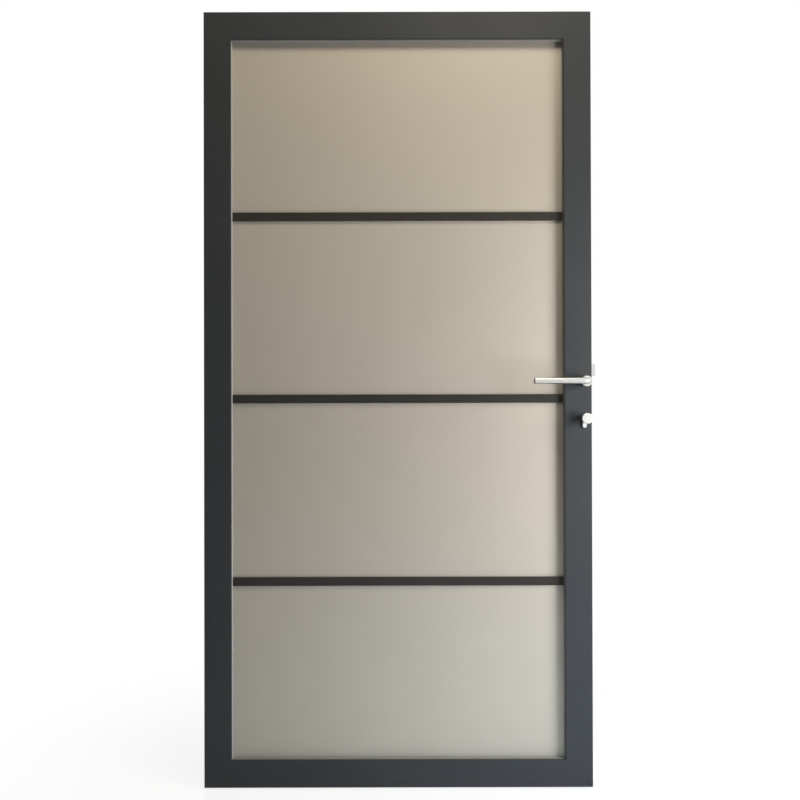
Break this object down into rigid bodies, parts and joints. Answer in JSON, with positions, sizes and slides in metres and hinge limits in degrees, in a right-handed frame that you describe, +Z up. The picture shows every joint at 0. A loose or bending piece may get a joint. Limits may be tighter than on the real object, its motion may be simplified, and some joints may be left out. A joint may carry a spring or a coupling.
{
  "type": "glass door",
  "caption": "Frosted glass door leaf in a dark mitred metal frame with horizontal glazing bars, lever handle, thumb-turn lock and butt hinges.",
  "frame": {"origin": "middle of the bottom hinge's jamb screw holes, on the wing face that lies on the jamb", "axes": "+X from the hinge edge to the lock edge, +Y from the near face through the leaf, +Z up"},
  "size_m": [1.0302, 0.178, 2],
  "materials": {
    "frame_coat": "matt anthracite powder coat on aluminium",
    "frosted_glass": "frosted, translucent, faint warm tint",
    "spacer_plastic": "satin mid grey",
    "gasket_rubber": "matt grey",
    "packer_plastic": "matt black",
    "satin_steel": "satin stainless steel",
    "hinge_steel": "satin stainless steel",
    "zinc_plate": "bright zinc plate",
    "mill_aluminium": "mill finish"
  },
  "bodies": {
    "jamb_wings": {"hinge_jamb_wing_bottom": "hinge_steel", "hinge_jamb_wing_middle": "hinge_steel", "hinge_jamb_wing_top": "hinge_steel", "hinge_pin_bottom": "hinge_steel", "hinge_pin_middle": "hinge_steel", "hinge_pin_top": "hinge_steel"},
    "handle": {"front_lever": "satin_steel", "rear_lever": "satin_steel", "spindle": "zinc_plate", "lever_grub_screws": "zinc_plate", "lever_hub": "zinc_plate"},
    "latch": {"latch_bolt": "satin_steel"},
    "turn": {"thumb_turn": "satin_steel", "turn_plug": "satin_steel", "cylinder_cam": "zinc_plate"},
    "bolt": {"deadbolt": "satin_steel"},
    "leaf": {"left_stile": "frame_coat", "right_stile": "frame_coat", "top_rail": "frame_coat", "bottom_rail": "frame_coat", "corner_cleats": "mill_aluminium", "glass_pane": "frosted_glass", "setting_blocks": "packer_plastic", "spacer_left": "spacer_plastic", "spacer_right": "spacer_plastic", "spacer_top": "spacer_plastic", "spacer_bottom": "spacer_plastic", "front_gasket": "gasket_rubber", "rear_gasket": "gasket_rubber", "bead_left": "frame_coat", "bead_right": "frame_coat", "bead_top": "frame_coat", "bead_bottom": "frame_coat", "front_bar_lower": "frame_coat", "front_bar_middle": "frame_coat", "front_bar_upper": "frame_coat", "front_bar_tapes": "packer_plastic", "rear_bar_lower": "frame_coat", "rear_bar_middle": "frame_coat", "rear_bar_upper": "frame_coat", "rear_bar_tapes": "packer_plastic", "hinge_leaf_wing_bottom": "hinge_steel", "hinge_leaf_wing_middle": "hinge_steel", "hinge_leaf_wing_top": "hinge_steel", "hinge_screws": "hinge_steel", "hinge_backing_plates": "zinc_plate", "lock_case": "zinc_plate", "lock_cover": "zinc_plate", "cover_screws": "zinc_plate", "lock_faceplate": "satin_steel", "faceplate_screws": "satin_steel", "lock_brackets": "zinc_plate", "latch_spring": "zinc_plate", "cylinder_body": "satin_steel", "key_plug": "satin_steel", "cylinder_screw": "satin_steel", "front_rose": "satin_steel", "rear_rose": "satin_steel"}
  },
  "joints": [
    {"name": "leaf_swing", "type": "hinge", "parent": "jamb_wings", "child": "leaf", "pos_m": [0.00325, 0.0235, 0], "axis": [0, 0, 1], "range_deg": [0, 110]},
    {"name": "lever_turn", "type": "hinge", "parent": "leaf", "child": "handle", "pos_m": [0.9865, -0.014, 0.824], "axis": [0, -1, 0], "range_deg": [0, 40], "stiffness_Nm_per_rad": 1.2, "springref_deg": -45.84},
    {"name": "latch_slide", "type": "slide", "parent": "leaf", "child": "latch", "axis": [-1, 0, 0], "range_m": [0, 0.02], "deforming": ["latch_spring"]},
    {"name": "knob_turn", "type": "hinge", "parent": "leaf", "child": "turn", "pos_m": [0.9865, -0.014, 0.729], "axis": [0, 1, 0], "range_deg": [0, 360]},
    {"name": "deadbolt_slide", "type": "slide", "parent": "leaf", "child": "bolt", "axis": [1, 0, 0], "range_m": [0, 0.015]}
  ],
  "couplings": [
    {"joint": "latch_slide", "follows": "lever_turn", "m_per_rad": 0.028647},
    {"joint": "deadbolt_slide", "follows": "knob_turn", "m_per_rad": 0.0023873}
  ]
}
